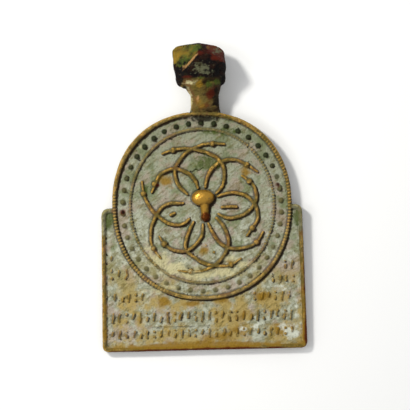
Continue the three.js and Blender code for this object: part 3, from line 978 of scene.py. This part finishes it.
# How golden the raised metal is rubbed in each zone of the face, from 0, patinated, to 1, bare
gilding = {"rosette": 0.8, "innerRing": 0.35, "band": 0.05, "outerRing": 0.65, "block": 0.6, "rim": 0.75,
           "shoulders": 0.15, "knob": 1, "neck": 0.8}
zones = {
    "innerRing": (0.955, 1.045),  # shares of the ring's oval
    "outerRing": (0.965, 1.035),
    "archRim": 0.945,
    "rimWidth": 1.5,
    "shoulderDepth": 8,
    "knob": (0.5, 0.2, 4.6),  # x, y and radius
}


# Facets of the head by the way they face, with the colours that each carries all over: on the facet facing the
# lamp at the upper left, ochre and green patina lightened as painted light; red patina on the one facing the
# upper right
headFacets = [
    {"towards": (-0.6, 0.55, 0.55), "ochre": 0.5, "green": 0.62},
    {"towards": (0.6, 0.6, 0.5), "red": 0.66},
]


# Where the black of the head begins: x and y across the collar
headFoot = [(-8, 33), (-6, 33.4), (-4.8, 35.4), (-4.4, 36.6), (5.6, 36.6), (6.2, 34.4), (8, 33)]


def ovalShare(oval, x, y):
    across = np.abs(x / oval["halfWidth"]) ** oval["fullness"]
    return (across + np.abs(y / oval["halfHeight"]) ** oval["fullness"]) ** (1 / oval["fullness"])


def gildAt(x, y):
    inner = ovalShare(rings["inner"]["oval"], x, y)
    outer = ovalShare(rings["outer"]["oval"], x, y)
    gild = np.full_like(x, gilding["block"])
    gild[outer < zones["outerRing"][1]] = gilding["outerRing"]
    gild[outer < zones["outerRing"][0]] = gilding["band"]
    gild[inner < zones["innerRing"][1]] = gilding["innerRing"]
    gild[inner < zones["innerRing"][0]] = gilding["rosette"]
    side = np.abs(x - plate["blockShift"]) - (plate["shoulderHalf"] - zones["rimWidth"])
    onRim = ((y > 0) & (ovalShare(plate["arch"], x, y) > zones["archRim"])) | (
        (y <= 0) & ((side > 0) | (y < plate["foot"] + zones["rimWidth"])))
    gild[onRim] = gilding["rim"]
    gild[(side > -zones["rimWidth"]) & (y <= 0) & (y > -zones["shoulderDepth"])] = gilding["shoulders"]
    knobX, knobY, reach = zones["knob"]
    gild[np.hypot(x - knobX, y - knobY) < reach] = gilding["knob"]
    gild[y > neck["sections"][0][0] + 1] = gilding["neck"]
    return gild


# How far each point stands out from its neighbours, smoothed: worn edges are above 0
def edgeOf(mesh, points, normals):
    ends = np.empty(len(mesh.edges) * 2, np.int32)
    mesh.edges.foreach_get("vertices", ends)
    a, b = ends.reshape(-1, 2).T
    count = np.bincount(np.concatenate((a, b)), minlength=len(points)).astype(float)

    def averaged(values):
        total = np.bincount(a, values[b], len(points)) + np.bincount(b, values[a], len(points))
        return total / np.maximum(count, 1)

    middle = np.stack([averaged(column) for column in points.T], 1)
    out = ((points - middle) * normals).sum(1)
    for _ in range(2):
        out = (out + averaged(out)) / 2
    return out


# Share of the way from one level to another, from 0 to 1
def shareOf(values, ends):
    return np.clip((values - ends[0]) / (ends[1] - ends[0]), 0, 1)


def paintCasting():
    mesh = casting.data
    points = pointsOf(mesh)
    normals = normalsOf(mesh)
    x, y, z = points.T
    cells = mapCells(points)
    front = (z > reading["frontLevel"]).astype(float)
    proud = z - plate["field"]
    most = reading["crestMost"]
    crest = np.clip(z - blurred(levels, mapping["blur"])[cells], -most, most) * front
    gild = gildAt(x, y) * front
    tone = shareOf(y, reading["tone"])
    head = np.clip((y - np.interp(x, *zip(*headFoot))) / reading["headEdge"], 0, 1)
    reach = reading["pelletReach"]
    pellet = spotsAt([(px, py, reach, reach, 1) for px, py, level in pelletPlaces()], x, y) * front
    knobX, knobY, knobReach = zones["knob"]
    onKnob = (np.hypot(x - knobX, y - knobY) < knobReach) & (proud > reading["knobFoot"])
    found = {
        "front": front,
        "behind": 1 - front,
        "rub": crest + np.maximum(1.2 * (gild - 0.8), 0),
        "hollow": -crest,
        "leeShadow": shadowLineOf(levels)[cells] * front,
        "facingFromLight": (normals[:, :2] @ np.array(mapping["shadowWay"])) * front,
        "relief": proud * front,
        "edge": edgeOf(mesh, points, normals),
        "gild": gild,
        "shine": gild * (1 - head),
        "rough": np.where(onKnob, reading["knobRoughness"], 1),
        "tone": tone,
        "warm": shareOf(y, reading["warm"]),
        "head": head,
        "pellet": pellet,
        "metalShare": 0.62 + 0.35 * gild,
        "pelletShare": 0.75 + 0.2 * tone,
        "dirtAndShadowShare": np.clip(1 - head - (1 - tone) * pellet, 0, 1),
    }
    for kind, spots in stainsAndPaintedLight.items():
        found[kind] = spotsAt(spots, x, y) * front
    for facet in headFacets:
        towards = np.array(facet["towards"]) / np.linalg.norm(facet["towards"])
        match = shareOf(normals @ towards, reading["facetMatch"]) * head
        for kind in stainsAndPaintedLight:
            if kind in facet:
                found[kind] = np.maximum(found[kind], match * facet[kind])
    onFace = shareOf(proud, reading["proud"]) * (y < neck["sections"][0][0])
    for kind in ("pale", "crust", "green"):  # thinner on the raised metal
        found[kind] = found[kind] * (1 - reading["thinned"] * onFace)
    for name, values in found.items():
        setValues(mesh, name, values)
    return list(found)


painted = paintCasting()
print("stains laid on")


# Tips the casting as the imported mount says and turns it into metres
placing = {"mountSpot": (0, -41.3, 0)}  # the record's mount point in the untilted layout, mm


def placeCasting():
    mount = frame["record"]["mounts"][0]
    tilt = math.atan2(mount["axis"][1], -mount["axis"][2])
    turn = Matrix.Rotation(tilt, 4, "X")
    spot = turn @ Vector(placing["mountSpot"])
    move = Matrix.Translation(Vector(mount["pos_m"]) - spot * mm)
    casting.data.transform(move @ turn @ Matrix.Scale(mm, 4))
    low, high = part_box("icon")
    flat = np.clip(pointsOf(casting.data), list(low), list(high)).astype(np.float32)
    casting.data.vertices.foreach_set("co", flat.ravel())
    casting.data.update()


placeCasting()

# Bronze: cast, patinated grey-green in the field, worn to bare golden metal on the ridges.
# It meets the eye as a matt mottled stone-like skin, with a soft metal gleam only where it was rubbed.
# Colours are those of the skin itself, apart from the painted shade and painted highlights noted below; sizes are
# mm on the real surface.
finish = {
    "gleam": 0.12,
    "bareRoughness": 0.32,
    "patinaRoughness": 0.75,
    "metallic": 0.8,
    "relief": 0.33,  # height of the fine roughness, mm
    "reliefShares": {"fine": 1, "mottle": 1.5, "streak": 1},
    "streakTurn": 35,
    "streakStretch": (2, 0.7, 1),
    "noiseRoughness": 0.6,
    # Noises: size in mm, detail and place in the pattern
    "noises": {
        "mottle": (1.5, 4, (0, 0, 0)),
        "blotch": (5, 3, (0.3, 0.1, 0)),
        "drift": (5, 3, (0.9, 0.6, 0)),
        "fine": (0.6, 2, (0.1, 0.5, 0)),
        "speck": (0.8, 2, (0.7, 0.2, 0)),
        "streak": (1.6, 3, (0, 0, 0)),
    },
    # Masks: what is painted on the casting, the noise that breaks it up and by how much, the two
    # levels between which the mask rises, its strength and what holds it back
    "masks": {
        "lightPatches": (None, "mottle", 1, 0.42, 0.6, 1, None),
        "greenPatches": (None, "blotch", 1, 0.48, 0.64, 0.7, None),
        "pinkPatches": (None, "drift", 1, 0.48, 0.62, 0.6, None),
        "warmPatches": (None, "blotch", 1, 0.4, 0.6, 1, "warm"),
        "streaks": (None, "streak", 1, 0.52, 0.66, 0.5, None),
        "specks": (None, "speck", 1, 0.6, 0.72, 0.5, None),
        # painted shade: the field darker towards the top
        "topShade": (None, "mottle", 1, 0.25, 0.85, 1, "tone"),
        "brownPatches": (None, "drift", 1, 0.52, 0.62, 0.6, None),
        "rubbed": ("rub", "mottle", 0.45, 0.305, 0.485, 1, None),
        # painted shade: the flanks of the relief that face away from the lamp, towards the lower right
        "paintedShadeSide": ("facingFromLight", "mottle", 0.8, 0.55, 1, 0.65, None),
        "raised": ("relief", "fine", 0.2, 0.26, 0.5, 1, "metalShare"),
        "upperPellets": ("tone", "mottle", 0, 0.25, 0.75, 1, None),
        "onPellet": ("pellet", "mottle", 0.6, 0.6, 0.95, 1, "pelletShare"),
        "headBrowns": (None, "mottle", 1, 0.42, 0.66, 1, None),
        "headOlives": (None, "drift", 1, 0.56, 0.66, 0.6, None),
        "backOlives": (None, "mottle", 1, 0.4, 0.6, 0.7, None),
        "backGreys": (None, "blotch", 1, 0.5, 0.62, 0.6, None),
        "wornEdge": ("edge", "mottle", 0.06, 0.05, 0.1, 0.7, "behind"),
        # painted shadow: dark lines beside the relief on its lower right, away from the lamp; outside them bare
        # metal may gleam
        "paintedShadowLines": ("leeShadow", "mottle", 1.8, 1.4, 2, 0.9, "dirtAndShadowShare"),
        "outsideShadowLines": ("leeShadow", "mottle", 1.8, 2, 1.4, 1, None),
        "hollowGrime": ("hollow", "fine", 0.1, 0.11, 0.25, 0.6, "dirtAndShadowShare"),
        "paleStainAndHighlight": ("pale", "mottle", 1.6, 1.1, 1.65, 0.85, None),
        "greenStain": ("green", "mottle", 1.6, 1.1, 1.65, 0.85, None),
        "ochreStain": ("ochre", "drift", 1.6, 1.1, 1.65, 0.9, None),
        "redStainAndShade": ("red", "drift", 1.6, 1.1, 1.65, 0.9, None),
        "crustStain": ("crust", "mottle", 1.6, 1.1, 1.65, 0.9, None),
        "grimeAndShadeMask": ("grime", "mottle", 1.6, 1.1, 1.65, 0.9, None),
        "ashStain": ("ash", "speck", 2.4, 1.5, 2.05, 0.8, None),
        "paintedTanHighlight": ("tan", "mottle", 1.6, 1.1, 1.65, 0.9, None),
    },
    # Skins: a base and the coats laid over it one by one, each a colour or an earlier skin and its mask
    "skins": {
        "field": ("#92937a", [
            ("#b3b6a2", "lightPatches"), ("#6d7850", "greenPatches"), ("#ab978a", "pinkPatches"),
            ("#a8935a", "warmPatches"), ("#675a1f", "streaks"), ("#4a3f14", "specks"),
            # the last coat darkens the field towards the top as painted shade
            ("#525630", "topShade")]),
        "dullMetal": ("#45431a", [("#65500f", "gild"), ("#66390a", "brownPatches")]),
        "bareMetal": ("#857c46", [("#b98c36", "gild")]),
        # the flanks facing away from the lamp are painted a darker brown as shade
        "metal": ("dullMetal", [("bareMetal", "rubbed"), ("#3f2606", "paintedShadeSide")]),
        "pelletSkin": ("#5f5a34", [("#1b240e", "upperPellets")]),
        "headSkin": ("#040101", [("#1f0d03", "headBrowns"), ("#332c0c", "headOlives")]),
        "backSkin": ("#5b5130", [
            ("#675a1f", "backOlives"), ("#92937a", "backGreys"), ("#4a3f14", "specks"),
            ("headSkin", "head")]),
        "whole": ("field", [
            ("metal", "raised"), ("pelletSkin", "onPellet"), ("headSkin", "head"), ("backSkin", "behind"),
            # the first dark brown coat is painted shadow beside the relief, the second is dirt in the hollows
            ("#65500f", "wornEdge"), ("#241505", "paintedShadowLines"), ("#241505", "hollowGrime"),
            ("#c3bb8e", "paleStainAndHighlight"), ("#45521a", "greenStain"), ("#8a6a1c", "ochreStain"),
            ("#4e1403", "redStainAndShade"), ("#cdd0c0", "crustStain"), ("#120b03", "grimeAndShadeMask"),
            ("#5d5e46", "ashStain"), ("#a17a4a", "paintedTanHighlight")]),
    },
}


def makeBronze():
    bronze.use_nodes = True
    tree = bronze.node_tree
    shader = tree.nodes["Principled BSDF"]
    shader.inputs["Specular IOR Level"].default_value = finish["gleam"]
    place = addNode(tree, "ShaderNodeTexCoord", out="Object")
    slanted = addNode(tree, "ShaderNodeMapping", {"vector_type": "TEXTURE"}, {
        "Vector": place, "Rotation": (0, 0, math.radians(finish["streakTurn"])),
        "Scale": finish["streakStretch"]})

    value = {}
    for name in painted:
        value[name] = addNode(tree, "ShaderNodeAttribute", {"attribute_name": name}, out="Fac")
    for name, (size, detail, shift) in finish["noises"].items():
        moved = addNode(tree, "ShaderNodeVectorMath", {"operation": "ADD"}, {
            0: slanted if name == "streak" else place, 1: shift})
        value[name] = addNode(tree, "ShaderNodeTexNoise", inputs={
            "Vector": moved, "Scale": 1 / (size * mm), "Detail": detail,
            "Roughness": finish["noiseRoughness"]})
    for name, (source, noise, swing, low, high, most, within) in finish["masks"].items():
        level = addNode(tree, "ShaderNodeMath", {"operation": "MULTIPLY_ADD"}, {
            0: value[noise], 1: swing, 2: value[source] if source else 0})
        mask = addNode(tree, "ShaderNodeMapRange", {"interpolation_type": "SMOOTHSTEP"}, {
            "Value": level, "From Min": low, "From Max": high, "To Max": most})
        if within:
            mask = addNode(tree, "ShaderNodeMath", {"operation": "MULTIPLY"}, {0: mask, 1: value[within]})
        value[name] = mask
    for name, (base, coats) in finish["skins"].items():
        colour = value[base] if base in value else linear(base)
        for coat, mask in coats:
            colour = addNode(tree, "ShaderNodeMix", {"data_type": "RGBA"}, {
                0: value[mask], 6: colour, 7: value[coat] if coat in value else linear(coat)}, out=2)
        value[name] = colour

    # Bare metal shines where it is raised and rubbed, and not under the painted shadow lines
    bare = value["shine"]
    for name in ("rubbed", "raised", "outsideShadowLines"):
        bare = addNode(tree, "ShaderNodeMath", {"operation": "MULTIPLY"}, {0: bare, 1: value[name]})
    metallic = addNode(tree, "ShaderNodeMath", {"operation": "MULTIPLY"}, {0: bare, 1: finish["metallic"]})
    roughness = addNode(tree, "ShaderNodeMapRange", inputs={
        "Value": bare, "To Min": finish["patinaRoughness"], "To Max": finish["bareRoughness"]})
    height = 0
    for name, share in finish["reliefShares"].items():
        height = addNode(tree, "ShaderNodeMath", {"operation": "MULTIPLY_ADD"}, {
            0: value[name], 1: share, 2: height})
    height = addNode(tree, "ShaderNodeMath", {"operation": "MULTIPLY"}, {0: height, 1: value["rough"]})
    relieved = addNode(tree, "ShaderNodeBump", inputs={
        "Strength": 1, "Distance": finish["relief"] * mm, "Height": height})
    for name, socket in (("Base Color", value["whole"]), ("Metallic", metallic),
                         ("Roughness", roughness), ("Normal", relieved)):
        tree.links.new(socket, shader.inputs[name])


makeBronze()
casting.data.materials.clear()
casting.data.materials.append(bronze)
casting.data.shade_smooth()
print("bronze finished")

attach(casting, "root")
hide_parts("icon")
